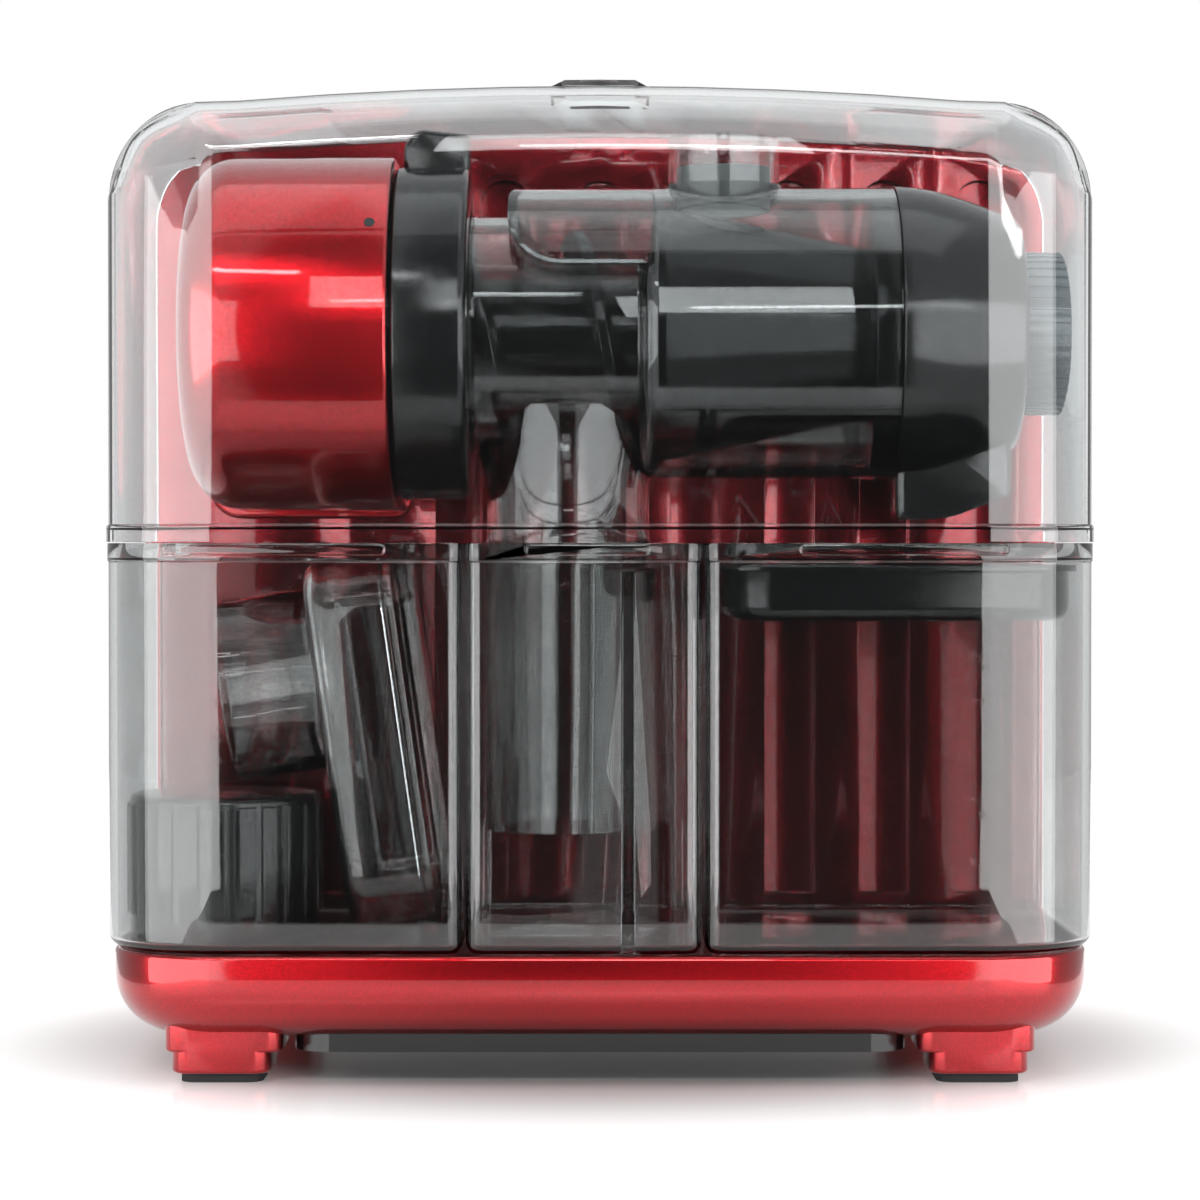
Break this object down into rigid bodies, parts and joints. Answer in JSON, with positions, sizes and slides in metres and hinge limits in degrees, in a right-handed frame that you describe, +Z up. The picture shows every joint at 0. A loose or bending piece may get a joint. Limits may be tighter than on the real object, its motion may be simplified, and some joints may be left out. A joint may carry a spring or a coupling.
{
  "type": "horizontal slow juicer with storage hood and bins",
  "caption": "Cube-shaped horizontal slow juicer packed away: red base and rear column, motor head, clear juicing drum under a clear hood, and clear storage bins in front of the column.",
  "frame": {"origin": "bottom centre of the machine, on the surface it stands on", "axes": "+X to the right seen from the front, +Y from the front towards the rear column, +Z up"},
  "size_m": [0.31, 0.205, 0.3119],
  "materials": {
    "red_housing": "metallic red lacquer on moulded plastic",
    "black_plastic": "satin moulded black",
    "grey_plastic": "satin moulded blue-grey",
    "smoke_clear": "polished clear with a smoke tint",
    "clear_hood": "polished clear",
    "black_rubber": "matt moulded",
    "silicone": "translucent matt silicone",
    "steel": "turned and ground",
    "dark_steel": "pressed, oiled",
    "copper_winding": "enamelled wire",
    "bronze_bush": "sintered and machined",
    "gear_nylon": "moulded natural nylon",
    "circuit_board": "green solder mask"
  },
  "bodies": {
    "machine": {"base_housing": "red_housing", "bottom_cover": "black_plastic", "foot_pad_front_left": "black_rubber", "foot_pad_front_right": "black_rubber", "foot_pad_rear_left": "black_rubber", "foot_pad_rear_right": "black_rubber", "column_housing": "red_housing", "rear_cover": "red_housing", "rear_screw_1": "dark_steel", "rear_screw_2": "dark_steel", "rear_screw_3": "dark_steel", "rear_screw_4": "dark_steel", "motor_head": "red_housing", "coupling_plate": "black_plastic", "switch_frame": "black_plastic", "cord_gland": "black_rubber", "control_board": "circuit_board", "gear_plate_left": "dark_steel", "gear_plate_right": "dark_steel", "output_bearing": "bronze_bush", "motor_cradle": "steel", "motor_stator": "dark_steel", "motor_coil_left": "copper_winding", "motor_coil_right": "copper_winding", "motor_bracket_left": "steel", "motor_bracket_right": "steel", "motor_bearing_left": "bronze_bush", "motor_bearing_right": "bronze_bush", "drum": "smoke_clear", "drum_seal": "silicone", "outlet_seal": "silicone", "juice_screen": "black_plastic"},
    "hood": {"storage_hood": "clear_hood"},
    "left_drawer": {"left_bin": "smoke_clear", "hopper": "smoke_clear", "fluted_cap": "black_plastic"},
    "middle_drawer": {"middle_bin": "smoke_clear"},
    "right_drawer": {"right_bin": "smoke_clear", "drip_tray": "black_plastic"},
    "ring": {"lock_ring": "black_plastic"},
    "auger_drive": {"auger": "black_plastic", "output_shaft": "steel", "output_gear": "gear_nylon"},
    "second_stage": {"second_gear": "gear_nylon", "second_gear_shaft": "steel"},
    "first_stage": {"first_gear": "gear_nylon", "first_gear_shaft": "steel"},
    "rotor": {"motor_rotor": "steel", "motor_shaft": "steel", "motor_pinion": "bronze_bush", "cooling_fan": "black_plastic"},
    "cap": {"drum_cap": "black_plastic"},
    "knob": {"pressure_knob": "grey_plastic"},
    "rocker": {"switch_rocker": "black_plastic"}
  },
  "joints": [
    {"name": "hood_lift", "type": "slide", "parent": "machine", "child": "hood", "axis": [0, 0, 1], "range_m": [0, 0.15]},
    {"name": "left_bin_slide", "type": "slide", "parent": "machine", "child": "left_drawer", "axis": [0, -1, 0], "range_m": [0, 0.13]},
    {"name": "middle_bin_slide", "type": "slide", "parent": "machine", "child": "middle_drawer", "axis": [0, -1, 0], "range_m": [0, 0.025]},
    {"name": "right_bin_slide", "type": "slide", "parent": "machine", "child": "right_drawer", "axis": [0, -1, 0], "range_m": [0, 0.13]},
    {"name": "lock_ring_turn", "type": "hinge", "parent": "machine", "child": "ring", "pos_m": [-0.056, -0.042, 0.2347], "axis": [1, 0, 0], "range_deg": [0, 50]},
    {"name": "cap_twist", "type": "hinge", "parent": "machine", "child": "cap", "pos_m": [0.1, -0.042, 0.2347], "axis": [1, 0, 0], "range_deg": [0, 25]},
    {"name": "pressure_knob_turn", "type": "hinge", "parent": "cap", "child": "knob", "pos_m": [0.14, -0.042, 0.2347], "axis": [1, 0, 0], "range_deg": [0, 270]},
    {"name": "switch_rock", "type": "hinge", "parent": "machine", "child": "rocker", "pos_m": [0.112, 0.0965, 0.086], "axis": [1, 0, 0], "range_deg": [-12, 12]},
    {"name": "auger_spin", "type": "hinge", "parent": "machine", "child": "auger_drive", "pos_m": [0, -0.042, 0.2347], "axis": [1, 0, 0], "continuous": true},
    {"name": "second_gear_spin", "type": "hinge", "parent": "machine", "child": "second_stage", "pos_m": [-0.1, 0.00306, 0.2183], "axis": [1, 0, 0], "continuous": true},
    {"name": "first_gear_spin", "type": "hinge", "parent": "machine", "child": "first_stage", "pos_m": [-0.1, 0.04171, 0.21148], "axis": [1, 0, 0], "continuous": true},
    {"name": "rotor_spin", "type": "hinge", "parent": "machine", "child": "rotor", "pos_m": [-0.036, 0.06157, 0.18312], "axis": [1, 0, 0], "continuous": true}
  ],
  "couplings": [
    {"joint": "second_gear_spin", "follows": "auger_spin", "ratio": -3.0769},
    {"joint": "first_gear_spin", "follows": "auger_spin", "ratio": 9.2308},
    {"joint": "rotor_spin", "follows": "auger_spin", "ratio": -29.822}
  ]
}
